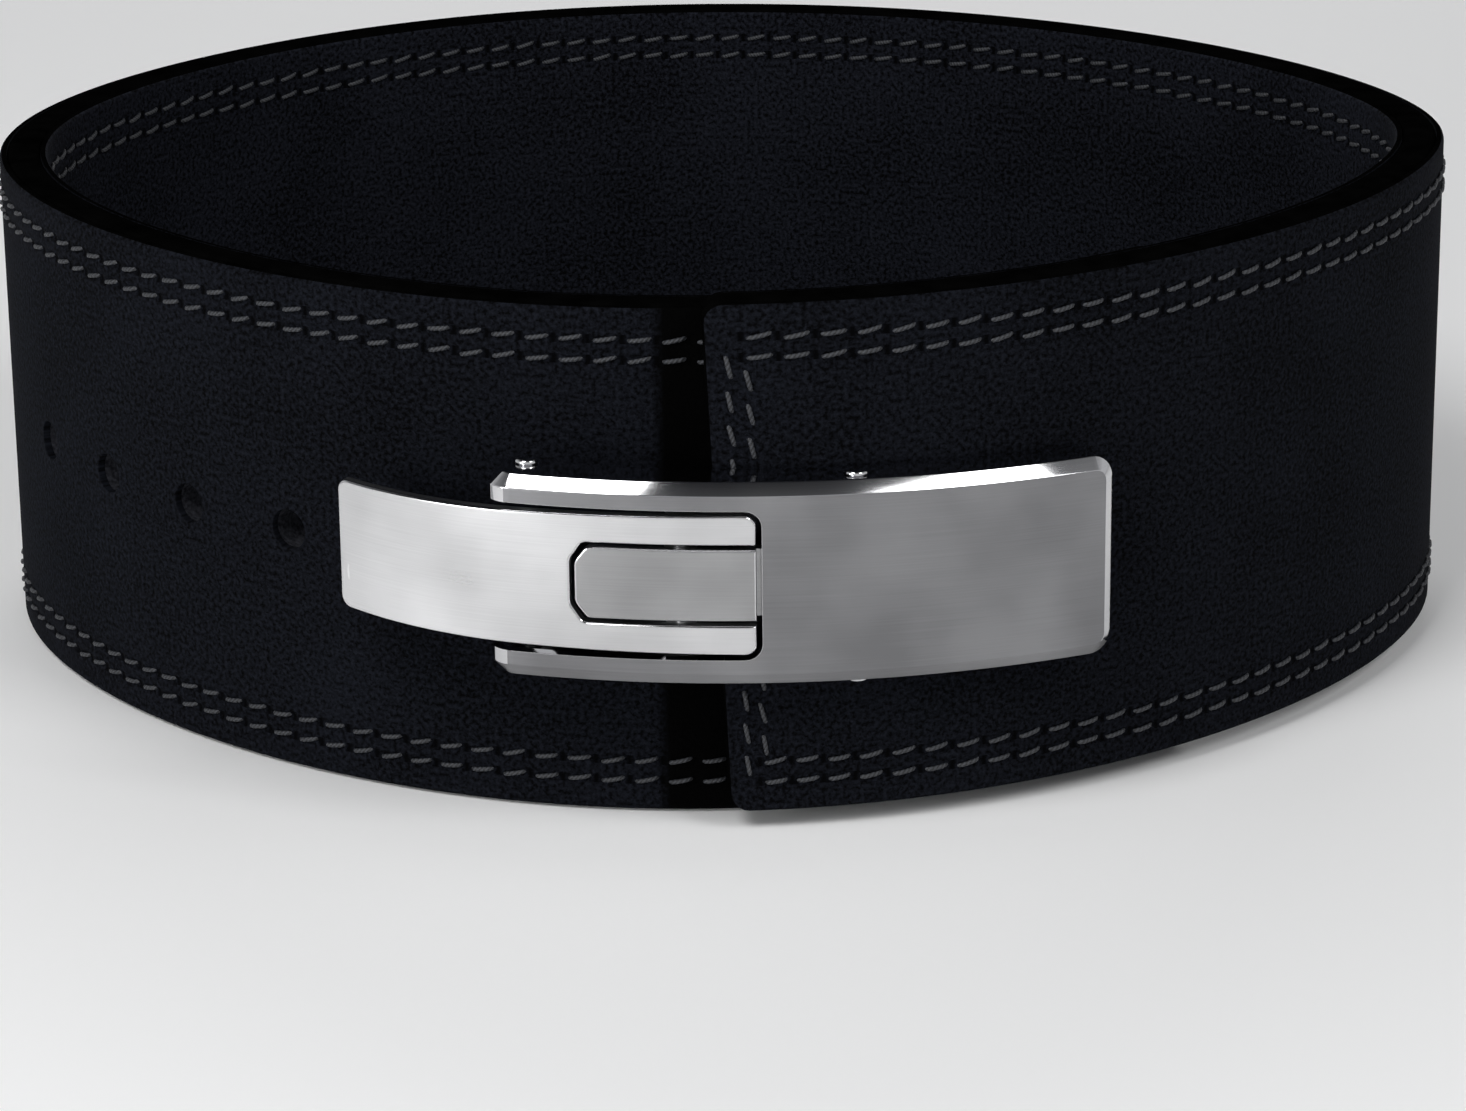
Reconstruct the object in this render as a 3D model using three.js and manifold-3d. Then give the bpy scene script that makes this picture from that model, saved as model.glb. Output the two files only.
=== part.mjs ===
// Lever belt for weightlifting, fastened and standing on its lower edge.
// Millimetres, +Z up. The lever faces -Y, and the strap's lapped end lies at the middle of the front.
// Each place is given along the strap: `along` is the distance on its outer face from the lapped end
// (positive to the right, seen from the front), `out` the height above that face, `up` the height.
import * as THREE from "three";
import { mergeVertices } from "three/addons/utils/BufferGeometryUtils.js";
import Module from "manifold-3d";

// Strap
const strapWidth = 100;
const facingThickness = 1.5;
const coreThickness = 6.4;
const seatGap = 0.3;
const lapGap = 0.5;
const edgeBevel = 0.8;
const facingInset = 0.4;
const endCornerRadius = 3;
const endLean = 2.6;
const lapLift = 3.5;
const liftHoldsTo = 60;
const liftEndsAt = 190;
const stationStep = 14;

// Loop: the middle of the strap's thickness, as a distance from the centre for each facing angle
const loopRadius = 130;
const loopForm = [
  { waves: 2, cosShare: -0.061, sinShare: 0.018 },
  { waves: 3, cosShare: 0.002, sinShare: -0.006 },
  { waves: 4, cosShare: 0.017, sinShare: -0.002 },
];

// Row of holes for the hook, and the four holes for the base plate's screws
const holeRadius = 4;
const holePitch = 27;
const holeHeight = 49;
const freeHoles = 4;
const lappedHoles = 5;
const tailMargin = 25;
const screwPitchAlong = 23;
const screwPitchUp = 19;
const firstScrewAlong = 17;
const screwRadius = 2.4;
const screwHeadRadius = 4.5;
const screwHeadHeight = 1.4;
const screwNutRadius = 6;
const screwNutHeight = 0.9;

// Base plate
const sheet = 1.8;
const baseLeft = -37.9;
const baseRight = 69;
const baseFloorLeft = 1.5;
const earTop = 7.6;
const earDrop = 0.5;
const earDropEndsAt = -6;
const earSlope = 3;
const earSheet = 1.3;
const earEndRadius = 4;

// Lever cover
const coverLeft = -39.8;
const coverRight = 73.5;
const coverHalfHeight = 19.6;
const coverTop = 10.7;
const coverLow = 1;
const coverSheet = 2.2;
const coverEndSheet = 1;
const coverBevelWidth = 2.4;
const coverBevelDepth = 1.8;
const coverCornerRadius = 4.5;
const notchRight = 7.7;
const notchCornerRadius = 3;
const sideGap = 0.4;
const leverLean = 1.4;
const leanPivot = -36;

// Hook arm
const hookLeft = -71.5;
const hookHalfHeight = 13.6;
const hookEndHalfHeight = 12.6;
const hookSheet = 2.4;
const hookCornerRadius = 2.4;
const hookBendFrom = -34;
const hookBendDepth = 6.5;
const hookGap = 0.8;
const hookEndGap = 0.9;
const pegAlong = -65.5;
const pegRadius = 2.9;
const pegShankRadius = 4;
const pegDepth = 5;
const pegShoulderGap = 1.2;

// Finger in the hook's slot
const fingerLeft = -24.4;
const fingerHalfHeight = 6.9;
const fingerTipHalfHeight = 3.9;
const fingerTipLength = 2.2;
const tabRight = 24;
const tabLeft = 3;
const tabSheet = 2.3;

// Hinges
const leverHinge = { along: -34.5, out: 2 };
const hookHinge = { along: -6.2, out: 6.4 };
const rivetRadius = 1.5;
const rivetHeadRadius = 2.5;
const rivetHeadHeight = 0.9;
const lugRadius = 4;
const knuckleRadius = 2.9;
const hookPinRadius = 1.3;
const runningGap = 0.25;
const studPlace = { along: 25.1, out: 5.6 };
const studHeadHeight = 0.7;
const roundSteps = 14;
const plateStep = 6;

const strapThickness = 2 * facingThickness + coreThickness + 2 * seatGap;
const lapStep = strapThickness + lapGap;
const turn = 2 * Math.PI;
const radians = THREE.MathUtils.degToRad;
const leverHeight = lapLift + strapWidth / 2;
// The buckle's middle height: it is riveted on a little askew, so it runs down to the right
const middleAt = (along) => leverHeight - Math.tan(radians(leverLean)) * (along - leanPivot);
const floorOut = seatGap;
const floorTop = floorOut + sheet;

// Distance of the strap's outer face from the centre along its normal, and its rate with the angle
function faceSupport(angle) {
  let reach = loopRadius + strapThickness / 2 + lapStep * (1 - angle / turn);
  let rate = -lapStep / turn;
  for (const { waves, cosShare, sinShare } of loopForm) {
    const c = Math.cos(waves * angle);
    const s = Math.sin(waves * angle);
    reach += loopRadius * (cosShare * c + sinShare * s);
    rate += loopRadius * waves * (sinShare * c - cosShare * s);
  }
  return { reach, rate };
}

// A point at a facing angle (0 to the front, growing to the right) and a height above the face
function atAngle(angle, out, up) {
  const { reach, rate } = faceSupport(angle);
  const c = Math.cos(angle);
  const s = Math.sin(angle);
  return new THREE.Vector3((reach + out) * s + rate * c, rate * s - (reach + out) * c, up);
}

// Table of the length along the face, from which the angle at each length is read
const tableStep = radians(0.5);
const tableStart = -turn / 5;
const faceTable = [];
for (let i = 0, length = 0; tableStart + i * tableStep < 1.35 * turn; i += 1) {
  const angle = tableStart + i * tableStep;
  const point = atAngle(angle, 0, 0);
  length += i ? point.distanceTo(faceTable[i - 1].point) : 0;
  faceTable.push({ angle, point, length });
}
function lengthAt(angle) {
  const place = (angle - tableStart) / tableStep;
  const i = Math.floor(place);
  return THREE.MathUtils.lerp(faceTable[i].length, faceTable[i + 1].length, place - i);
}
const lengthAtLap = lengthAt(0);
function angleAt(along) {
  const wanted = along + lengthAtLap;
  const i = Math.max(1, faceTable.findIndex((row) => row.length >= wanted));
  const before = faceTable[i - 1];
  const share = (wanted - before.length) / (faceTable[i].length - before.length);
  return before.angle + share * tableStep;
}
const place = (along, out, up) => atAngle(angleAt(along), out, up);

// Height of the strap's lower edge: the lapped end rides higher than the end under it
function liftAt(angle) {
  const share = (THREE.MathUtils.radToDeg(angle) - liftHoldsTo) / (liftEndsAt - liftHoldsTo);
  return lapLift * (1 - THREE.MathUtils.smoothstep(share, 0, 1));
}

// Booleans on closed triangle meshes
const wasm = await Module();
wasm.setup();
function solid(geometry) {
  const bare = geometry.clone();
  bare.deleteAttribute("normal");
  bare.deleteAttribute("uv");
  const merged = mergeVertices(bare, 1e-4);
  const vertProperties = Float32Array.from(merged.attributes.position.array);
  const triVerts = Uint32Array.from(merged.index.array);
  return new wasm.Manifold(new wasm.Mesh({ numProp: 3, vertProperties, triVerts }));
}
function geometryOf(body) {
  const mesh = body.getMesh();
  const geometry = new THREE.BufferGeometry();
  geometry.setAttribute("position", new THREE.BufferAttribute(mesh.vertProperties, 3));
  geometry.setIndex(new THREE.BufferAttribute(mesh.triVerts, 1));
  const faceted = geometry.toNonIndexed();
  faceted.computeVertexNormals();
  return faceted;
}

// Closed body through rings of world points, each ring seen in the same turning sense
function loft(rings) {
  const count = rings[0].length;
  const positions = rings.flat().flatMap((point) => point.toArray());
  const index = [];
  for (let r = 0; r + 1 < rings.length; r += 1) {
    for (let i = 0; i < count; i += 1) {
      const a = r * count + i;
      const b = r * count + ((i + 1) % count);
      index.push(a, b, b + count, a, b + count, a + count);
    }
  }
  const last = (rings.length - 1) * count;
  for (let i = 0; i < count / 2 - 1; i += 1) {
    const a = i;
    const b = i + 1;
    const c = count - 2 - i;
    const d = count - 1 - i;
    index.push(a, c, b, a, d, c);
    index.push(last + a, last + b, last + c, last + a, last + c, last + d);
  }
  const geometry = new THREE.BufferGeometry();
  geometry.setAttribute("position", new THREE.Float32BufferAttribute(positions, 3));
  geometry.setIndex(index);
  return geometry;
}

// Evenly spaced values from one end to the other
function steps(from, to, size) {
  const count = Math.max(1, Math.ceil(Math.abs(to - from) / size));
  return Array.from({ length: count + 1 }, (_, i) => from + ((to - from) * i) / count);
}

// Places along a piece whose ends have rounded corners, with how far each corner has closed in
function roundedRun(from, to, radiusFrom, radiusTo, size) {
  const share = [0, 0.25, 0.5, 0.75];
  const arc = (radius) => share.map((q) => ({
    inset: radius * (1 - Math.sin((q * Math.PI) / 2)),
    reach: radius * (1 - Math.cos((q * Math.PI) / 2)),
  }));
  const start = radiusFrom ? arc(radiusFrom).map((p) => ({ along: from + p.reach, inset: p.inset })) : [];
  const end = radiusTo ? arc(radiusTo).map((p) => ({ along: to - p.reach, inset: p.inset })) : [];
  const middle = steps(from + radiusFrom, to - radiusTo, size).map((along) => ({ along, inset: 0 }));
  return [...start, ...middle, ...end.reverse()];
}

// Bent block on the strap's curve: `run` lists the places along it, `shape` gives the block there
function bentBlock(run, shape) {
  return loft(run.map((station) => {
    const { low, high, half, offset = 0, bevel = 0, drop = 0 } = shape(station);
    const middle = middleAt(station.along) + offset;
    const corners = [
      [low, -half], [low, half], [high - drop, half], [high, half - bevel],
      [high, bevel - half], [high - drop, -half],
    ];
    const kept = bevel ? corners : corners.filter((_, i) => i !== 3 && i !== 4);
    return kept.map(([out, up]) => place(station.along, out, middle + up));
  }));
}

// Round piece turned from a profile of radius and height, with its axis along the strap's normal
function turnedOnNormal(profile, along, up) {
  const points = profile.map(([radius, out]) => new THREE.Vector2(radius, out));
  const geometry = new THREE.LatheGeometry(points, roundSteps);
  const angle = angleAt(along);
  const normal = new THREE.Vector3(Math.sin(angle), -Math.cos(angle), 0);
  geometry.applyQuaternion(new THREE.Quaternion().setFromUnitVectors(new THREE.Vector3(0, 1, 0), normal));
  const foot = atAngle(angle, 0, up);
  return geometry.translate(foot.x, foot.y, foot.z);
}
const pegAt = (profile, along, up) => solid(turnedOnNormal(profile, along, up));

// Upright round piece at the buckle's middle height, turned from a profile that points up or down
function turnedUpright(profile, spot, side = 1) {
  const points = profile.map(([radius, height]) => new THREE.Vector2(radius, height));
  const geometry = new THREE.LatheGeometry(points, roundSteps).rotateX((side * Math.PI) / 2);
  const foot = place(spot.along, spot.out, middleAt(spot.along));
  return geometry.translate(foot.x, foot.y, foot.z);
}
function barProfile(radius, from, to) {
  const [low, high] = from < to ? [from, to] : [to, from];
  return [[0, low], [radius, low], [radius, high], [0, high]];
}
const uprightBar = (radius, spot, from, to) => solid(turnedUpright(barProfile(radius, from, to), spot));

// Strap: outer facing, core and inner facing as three bands on the same curve
const pegLength = lengthAt(angleAt(pegAlong) + turn) - lengthAtLap;
const strapLength = pegLength + lappedHoles * holePitch + tailMargin;
const outerFacing = { top: 0, bottom: -facingThickness, inset: facingInset, bevel: "top" };
const coreTop = outerFacing.bottom - seatGap;
const core = { top: coreTop, bottom: coreTop - coreThickness, inset: 0, bevel: "none" };
const innerFacing = {
  top: core.bottom - seatGap, bottom: -strapThickness, inset: facingInset, bevel: "bottom",
};

function band({ top, bottom, inset: edgeInset, bevel }) {
  const run = roundedRun(0, strapLength, endCornerRadius, endCornerRadius, stationStep);
  return solid(loft(run.map(({ along, inset }) => {
    const lean = Math.tan(radians(endLean)) * Math.max(0, 1 - along / (2 * stationStep));
    const half = strapWidth / 2 - edgeInset - inset;
    const sections = {
      none: [[bottom, -half], [bottom, half], [top, half], [top, -half]],
      top: [[bottom, -half], [bottom, half], [top - edgeBevel, half], [top, half - edgeBevel],
        [top, edgeBevel - half], [top - edgeBevel, -half]],
      bottom: [[bottom, edgeBevel - half], [bottom, half - edgeBevel], [bottom + edgeBevel, half],
        [top, half], [top, -half], [bottom + edgeBevel, -half]],
    };
    return sections[bevel].map(([out, up]) => {
      const angle = angleAt(Math.max(along - up * lean, -strapWidth));
      return atAngle(angle, out, liftAt(angle) + strapWidth / 2 + up);
    });
  })));
}

function rowOfHoles() {
  const through = [[0, -1.5 * strapThickness], [holeRadius, -1.5 * strapThickness],
    [holeRadius, strapThickness / 2], [0, strapThickness / 2]];
  return Array.from({ length: freeHoles + 1 + lappedHoles }, (_, i) =>
    pegAt(through, pegLength + (i - freeHoles) * holePitch, holeHeight));
}

const screwPlaces = [0, 1].flatMap((column) => [-1, 1].map((side) => {
  const along = firstScrewAlong + column * screwPitchAlong;
  return { along, up: middleAt(along) + (side * screwPitchUp) / 2 };
}));
function screwHoles(radius, from, to) {
  return screwPlaces.map(({ along, up }) => pegAt(barProfile(radius, from, to), along, up));
}

const cut = (body, tools) => tools.reduce((rest, tool) => rest.subtract(tool), body);
const join = (bodies) => bodies.reduce((whole, body) => whole.add(body));

function strapLayer(layer, screwHoleRadius) {
  const screws = screwHoles(screwHoleRadius, layer.bottom - 2 * seatGap, layer.top + 2 * seatGap);
  return cut(band(layer), [...rowOfHoles(), ...screws]);
}

// Screw through the base plate and the strap, with its head on the plate and its nut in the inner facing
function screw({ along, up }) {
  const head = floorTop + seatGap;
  const nut = innerFacing.top - seatGap / 2;
  return turnedOnNormal([
    [0, nut - screwNutHeight], [screwNutRadius, nut - screwNutHeight], [screwNutRadius, nut],
    [screwRadius, nut], [screwRadius, head], [screwHeadRadius, head],
    [screwHeadRadius, head + screwHeadHeight / 2], [screwHeadRadius / 2, head + screwHeadHeight],
    [0, head + screwHeadHeight],
  ], along, up);
}

// Base plate: a floor screwed to the strap, with two ears inside the lever's sides that reach past
// the lapped end
const coverInside = coverHalfHeight - coverSheet + seatGap;
const earOuter = coverInside - sideGap;
const earInner = earOuter - earSheet;
const earMiddle = (earInner + earOuter) / 2;
function basePlate() {
  const floorRun = steps(baseFloorLeft, baseRight, plateStep).map((along) => ({ along }));
  const floor = bentBlock(floorRun, () => ({ low: floorOut, high: floorTop, half: earMiddle }));
  const earRun = [
    ...roundedRun(baseLeft, earDropEndsAt, earEndRadius, 0, plateStep),
    ...roundedRun(earDropEndsAt + earSlope, baseRight, 0, 0, plateStep),
  ];
  const ears = [-1, 1].map((side) => solid(bentBlock(earRun, ({ along, inset }) => ({
    low: (along > earDropEndsAt ? floorOut : -earDrop) + inset,
    high: earTop - inset,
    half: earSheet / 2,
    offset: side * earMiddle,
  }))));
  const bore = uprightBar(rivetRadius + runningGap, leverHinge, -coverInside, coverInside);
  const screws = screwHoles(screwRadius + runningGap, -strapThickness, floorTop + seatGap);
  return cut(join([solid(floor), ...ears]), [bore, ...screws]);
}

// Lever cover: a bevelled shell with a notch for the hook, and lugs for the hinge rivets
function leverCover() {
  const run = roundedRun(coverLeft, coverRight, coverBevelWidth, coverCornerRadius, plateStep);
  const block = bentBlock(run, ({ along, inset }) => {
    const fromEnd = Math.min(along - coverLeft, coverRight - along);
    const rise = Math.min(1, 0.1 + fromEnd / coverBevelWidth);
    return {
      low: coverLow + (along < 0 ? inset : 0), half: coverHalfHeight - inset, bevel: coverBevelWidth * rise,
      high: coverTop - coverBevelDepth * (1 - rise), drop: coverBevelDepth * rise,
    };
  });
  const hollowRun = roundedRun(coverLeft + coverEndSheet, coverRight - coverSheet, 0, coverSheet, plateStep);
  const hollow = bentBlock(hollowRun, ({ inset }) => ({
    low: -coverTop, high: coverTop - coverSheet, half: coverInside - inset,
  }));
  const notchRun = roundedRun(coverLeft - plateStep, notchRight, 0, notchCornerRadius, plateStep);
  const notch = bentBlock(notchRun, ({ inset }) => ({
    low: -coverTop, high: 2 * coverTop, half: hookHalfHeight + hookGap - inset,
  }));
  const lugs = [-1, 1].map((side) =>
    uprightBar(lugRadius, leverHinge, side * coverInside, side * coverHalfHeight));
  const bores = [leverHinge, studPlace].map((spot) =>
    uprightBar(rivetRadius + runningGap, spot, -2 * coverHalfHeight, 2 * coverHalfHeight));
  return cut(join([cut(solid(block), [solid(hollow)]), ...lugs]), [solid(notch), ...bores]);
}

// Finger that fills the hook's slot, with the tab that holds it under the cover and the hinge knuckle
function leverFinger() {
  const low = coverTop - coverSheet;
  const plateRight = notchRight - hookEndGap;
  const tipRun = [{ along: fingerLeft, half: fingerTipHalfHeight },
    ...steps(fingerLeft + fingerTipLength, plateRight, plateStep)
      .map((along) => ({ along, half: fingerHalfHeight }))];
  const plate = bentBlock(tipRun, ({ half }) => ({ low, high: coverTop, half }));
  const tabTop = low - seatGap;
  const half = fingerHalfHeight - seatGap;
  const tabRun = steps(tabLeft, tabRight, plateStep).map((along) => ({ along }));
  const tab = bentBlock(tabRun, () => ({ low: tabTop - tabSheet, high: tabTop, half }));
  const rootRun = steps(tabLeft, plateRight, plateStep).map((along) => ({ along }));
  const root = bentBlock(rootRun, () => ({ low: tabTop - tabSheet, high: low + seatGap, half }));
  const knuckle = uprightBar(knuckleRadius, hookHinge, -half, half);
  const bore = uprightBar(hookPinRadius + runningGap, hookHinge, -2 * half, 2 * half);
  return cut(join([solid(plate), solid(tab), solid(root), knuckle]), [bore]);
}

// Hook arm: a curved plate with a slot round the finger, knuckles at the hinge and a peg at its end
const hookBend = (along) => hookBendDepth
  * Math.max(0, (hookBendFrom - along) / (hookBendFrom - hookLeft)) ** 2;
function hookArm() {
  const right = notchRight - hookEndGap;
  const run = roundedRun(hookLeft, right, hookCornerRadius, notchCornerRadius - hookGap, plateStep / 2);
  const plate = bentBlock(run, ({ along, inset }) => {
    const share = THREE.MathUtils.clamp((right - along) / (right - hookLeft), 0, 1);
    const high = coverTop - hookBend(along);
    return {
      low: high - hookSheet, high,
      half: THREE.MathUtils.lerp(hookHalfHeight, hookEndHalfHeight, share) - inset,
    };
  });
  const slotHalf = fingerHalfHeight + hookGap;
  const slotRun = [{ along: fingerLeft - hookGap, half: fingerTipHalfHeight + hookGap },
    ...steps(fingerLeft + fingerTipLength - hookGap / 2, right + plateStep, plateStep)
      .map((along) => ({ along, half: slotHalf }))];
  const slot = bentBlock(slotRun, ({ half }) => ({ low: -coverTop, high: 2 * coverTop, half }));
  const knuckles = [-1, 1].map((side) => uprightBar(
    knuckleRadius, hookHinge, side * (slotHalf + seatGap), side * (hookHalfHeight - seatGap)));
  const bore = uprightBar(hookPinRadius + runningGap, hookHinge, -hookHalfHeight * 2, hookHalfHeight * 2);
  const under = coverTop - hookBend(pegAlong) - hookSheet / 2;
  const face = -lapStep;
  const peg = pegAt([
    [0, face - pegDepth], [pegRadius * 0.8, face - pegDepth], [pegRadius, face - pegDepth * 0.8],
    [pegRadius, face + pegShoulderGap], [pegShankRadius, face + pegShoulderGap],
    [pegShankRadius, under], [0, under],
  ], pegAlong, holeHeight);
  return cut(join([cut(solid(plate), [solid(slot)]), ...knuckles, peg]), [bore]);
}

// Rivet with a head on each side of the ear and the lever's side that it joins
const sideFace = coverHalfHeight + seatGap;
function hingeRivet(side) {
  const from = earInner - seatGap;
  return turnedUpright([
    [0, from - rivetHeadHeight], [rivetHeadRadius, from - rivetHeadHeight], [rivetHeadRadius, from],
    [rivetRadius, from], [rivetRadius, sideFace], [rivetHeadRadius, sideFace],
    [rivetHeadRadius * 0.7, sideFace + rivetHeadHeight], [0, sideFace + rivetHeadHeight],
  ], leverHinge, side);
}

// Stud in the lever's side, flush inside, with a low head outside
function sideStud(side) {
  return turnedUpright([
    [0, coverInside], [rivetRadius, coverInside], [rivetRadius, sideFace], [rivetHeadRadius, sideFace],
    [rivetHeadRadius * 0.7, sideFace + studHeadHeight], [0, sideFace + studHeadHeight],
  ], studPlace, side);
}

const materials = {
  suede: { color: 0x14171d, roughness: 0.95, metalness: 0 },
  edge: { color: 0x08090b, roughness: 0.7, metalness: 0 },
  steel: { color: 0xb9bcc2, roughness: 0.25, metalness: 1 },
  darkSteel: { color: 0x55585e, roughness: 0.35, metalness: 1 },
};

const belt = new THREE.Group();
function piece(name, geometry, finish) {
  const mesh = new THREE.Mesh(geometry, new THREE.MeshStandardMaterial(materials[finish]));
  mesh.name = name;
  belt.add(mesh);
}

const screwBore = screwRadius + runningGap;
piece("outer_suede", geometryOf(strapLayer(outerFacing, screwBore)), "suede");
piece("strap_core", geometryOf(strapLayer(core, screwBore)), "edge");
piece("inner_suede", geometryOf(strapLayer(innerFacing, screwNutRadius + seatGap)), "suede");
piece("base_plate", geometryOf(basePlate()), "darkSteel");
screwPlaces.forEach((spot, i) => piece(`base_screw_${i + 1}`, screw(spot), "steel"));
for (const [side, end] of [[1, "upper"], [-1, "lower"]]) {
  piece(`hinge_rivet_${end}`, hingeRivet(side), "steel");
  piece(`side_stud_${end}`, sideStud(side), "steel");
}
piece("lever_cover", geometryOf(leverCover()), "steel");
piece("lever_finger", geometryOf(leverFinger()), "steel");
const pinReach = hookHalfHeight - 2 * seatGap;
piece("hook_pin", turnedUpright(barProfile(hookPinRadius, -pinReach, pinReach), hookHinge), "steel");
piece("hook_arm", geometryOf(hookArm()), "steel");

// The origin is the middle of the belt's footprint, on the surface that it stands on
const box = new THREE.Box3().setFromObject(belt);
const middle = box.getCenter(new THREE.Vector3());
belt.position.set(-middle.x, -middle.y, -box.min.z);

export default belt;
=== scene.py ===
import math
import random

import bmesh
import bpy
import numpy as np
from mathutils import Matrix, Vector


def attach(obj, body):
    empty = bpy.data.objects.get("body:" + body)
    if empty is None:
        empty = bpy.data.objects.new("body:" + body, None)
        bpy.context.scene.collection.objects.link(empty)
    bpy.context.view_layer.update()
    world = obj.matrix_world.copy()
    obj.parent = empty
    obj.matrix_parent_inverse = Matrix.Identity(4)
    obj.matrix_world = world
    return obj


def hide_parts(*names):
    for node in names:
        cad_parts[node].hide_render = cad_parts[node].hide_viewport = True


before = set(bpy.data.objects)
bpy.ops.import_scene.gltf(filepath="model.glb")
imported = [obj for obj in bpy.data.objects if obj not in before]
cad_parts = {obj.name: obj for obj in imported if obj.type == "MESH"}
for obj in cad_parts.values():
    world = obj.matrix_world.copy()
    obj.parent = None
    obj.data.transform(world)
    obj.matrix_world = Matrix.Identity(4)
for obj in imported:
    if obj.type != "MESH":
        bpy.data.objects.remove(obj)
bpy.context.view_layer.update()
random.seed(7)

MM = 0.001

# Loop of the strap, the same as the solids
LOOP_RADIUS = 130.0
LOOP_FORM = ((2, -0.061, 0.018), (3, 0.002, -0.006), (4, 0.017, -0.002))
STRAP_THICKNESS = 10.0
STRAP_WIDTH = 100.0
LAP_STEP = 10.5
LAP_LIFT, LIFT_HOLDS_TO, LIFT_ENDS_AT = 3.5, 60.0, 190.0
END_LEAN, LEAN_REACH = math.radians(2.6), 28.0
LOOP_SHIFT = (-3.4169, 8.2715)

# Holes and seams
HOLE_RADIUS, HOLE_PITCH, HOLE_HEIGHT = 4.0, 27.0, 49.0
FREE_HOLES, LAPPED_HOLES, TAIL_MARGIN = 4, 5, 25.0
SKIN, SKIN_INSET, GLUE_GAP = 1.5, 0.3, 0.05
END_CORNER, SKIN_ROUNDING, CORE_ROUNDING, HOLE_ROUNDING = 3.6, 0.9, 1.2, 0.45
# each seam's distance from the strap's ends and from its sides
SEAMS = ((4.2, 6.4), (7.6, 10.4))
SEAM_HEIGHTS = [height for _, inset in SEAMS for height in (inset, STRAP_WIDTH - inset)]
SEAM_REACH, SEAM_DEPTH = 1.3, 0.35
STITCH_PITCH, STITCH_LENGTH, THREAD = 6.5, 4.9, 0.95
STITCH_SLANT, STITCH_DIP, STITCH_RISE = 0.42, 0.75, 0.18
STITCH_DRIFT, STITCH_TURN = 0.14, 0.07
# where the painted shadow beside the lapped end begins and is black, on its left and on its right
LAP_SHADOW_SIDES = ((-11.5, -9.0), (6.0, 3.0))

# Buckle: places along, half widths about the lever's middle line, heights over the strap
LEVER_HEIGHT = 53.5
LEVER_LEAN, LEAN_PIVOT = math.radians(1.4), -36.0
PLATE_TOP = 10.7
COVER_LEFT, COVER_RIGHT, COVER_HALF = -39.8, 73.5, 19.6
COVER_LOW, COVER_SHEET, COVER_WALL, COVER_CORNER = 1.0, 2.2, 1.9, 4.5
CHAMFER_WIDTH, CHAMFER_DEPTH, END_ROLL = 2.4, 1.8, 4.2
HOLLOW_CORNER, HOLLOW_ROLL, LUG_RADIUS = 2.4, 2.6, 4.0
HOOK_LEFT, HOOK_RIGHT, HOOK_HALF, HOOK_END_HALF = -71.5, 6.8, 13.6, 12.6
HOOK_SHEET, HOOK_BEND_FROM, HOOK_BEND = 2.4, -34.0, 6.5
HOOK_LEFT_CORNER, HOOK_RIGHT_CORNER = 2.4, 2.2
NOTCH_RIGHT, NOTCH_CORNER, HOOK_GAP = 7.7, 3.0, 0.8
FINGER_LEFT, FINGER_HALF, FINGER_SHEET = -24.4, 6.9, 2.2
TIP_LENGTH, TIP_SHARE, TIP_CORNER = 2.2, 0.44, 0.7
TAB_LEFT, TAB_RIGHT, TAB_HALF = 3.0, 24.0, FINGER_HALF - 0.3
TAB_LOW, TAB_TOP, TAB_ROOT_TOP = 5.9, 8.2, 8.8
PEG_ALONG, PEG_WIDE, PEG_SLIM, PEG_STEP, PEG_END = -65.5, 4.0, 2.9, -9.3, -15.5
LEVER_HINGE, HOOK_HINGE = (-34.5, 2.0), (-6.2, 6.4)
KNUCKLE_RADIUS, KNUCKLE_INNER, KNUCKLE_OUTER, PIN_RADIUS, PIN_HALF = 2.9, 8.0, 13.3, 1.3, 13.0
EAR_INNER, EAR_OUTER, EAR_TOP, EAR_LOW, EAR_CORNER = 16.0, 17.3, 7.6, -0.5, 4.0
EAR_STEP, EAR_RISE = (-6.0, -3.0), 0.8
BASE_LEFT, BASE_RIGHT = -37.9, 69.0
FLOOR_LEFT, FLOOR_HALF, FLOOR_LOW, FLOOR_TOP = 1.5, EAR_INNER + 0.6, 0.3, 2.1
STUD = (25.1, 5.6)
RIVET_RADIUS, RIVET_HEAD, RIVET_START, STUD_START, RIVET_END = 1.5, 2.2, 15.7, 17.7, 19.9
SCREWS = [(along, LEVER_HEIGHT + side * 9.5) for along in (17.0, 40.0) for side in (-1, 1)]
SCREW_HEAD, SCREW_SHANK, SCREW_NUT = 4.5, 2.4, 6.0
SCREW_HEAD_LOW, SCREW_HEAD_TOP, RECESS_FLOOR = FLOOR_TOP + 0.3, FLOOR_TOP + 1.7, FLOOR_TOP + 0.8
RECESS_LENGTH, RECESS_WIDTH = 5.0, 1.1
NUT_LOW, NUT_TOP = -9.5, -8.65

# Greatest angle between two faces that are shaded as one, in degrees
STRAP_SMOOTH, STITCH_SMOOTH, BUCKLE_SMOOTH, SMALL_SMOOTH = 50, 60, 30, 35


def face_reach(angle):
    """Distance of the outer face from the loop's centre along its normal, and its rate."""
    reach = LOOP_RADIUS + STRAP_THICKNESS / 2 + LAP_STEP * (1 - angle / math.tau)
    rate = 0 * angle - LAP_STEP / math.tau
    for waves, cos_share, sin_share in LOOP_FORM:
        c, s = np.cos(waves * angle), np.sin(waves * angle)
        reach = reach + LOOP_RADIUS * (cos_share * c + sin_share * s)
        rate = rate + LOOP_RADIUS * waves * (sin_share * c - cos_share * s)
    return reach, rate


def face_point(angle, out):
    """Place in plan at an angle round the loop, `out` above the outer face."""
    reach, rate = face_reach(angle)
    c, s = np.cos(angle), np.sin(angle)
    return (reach + out) * s + rate * c, rate * s - (reach + out) * c


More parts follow.
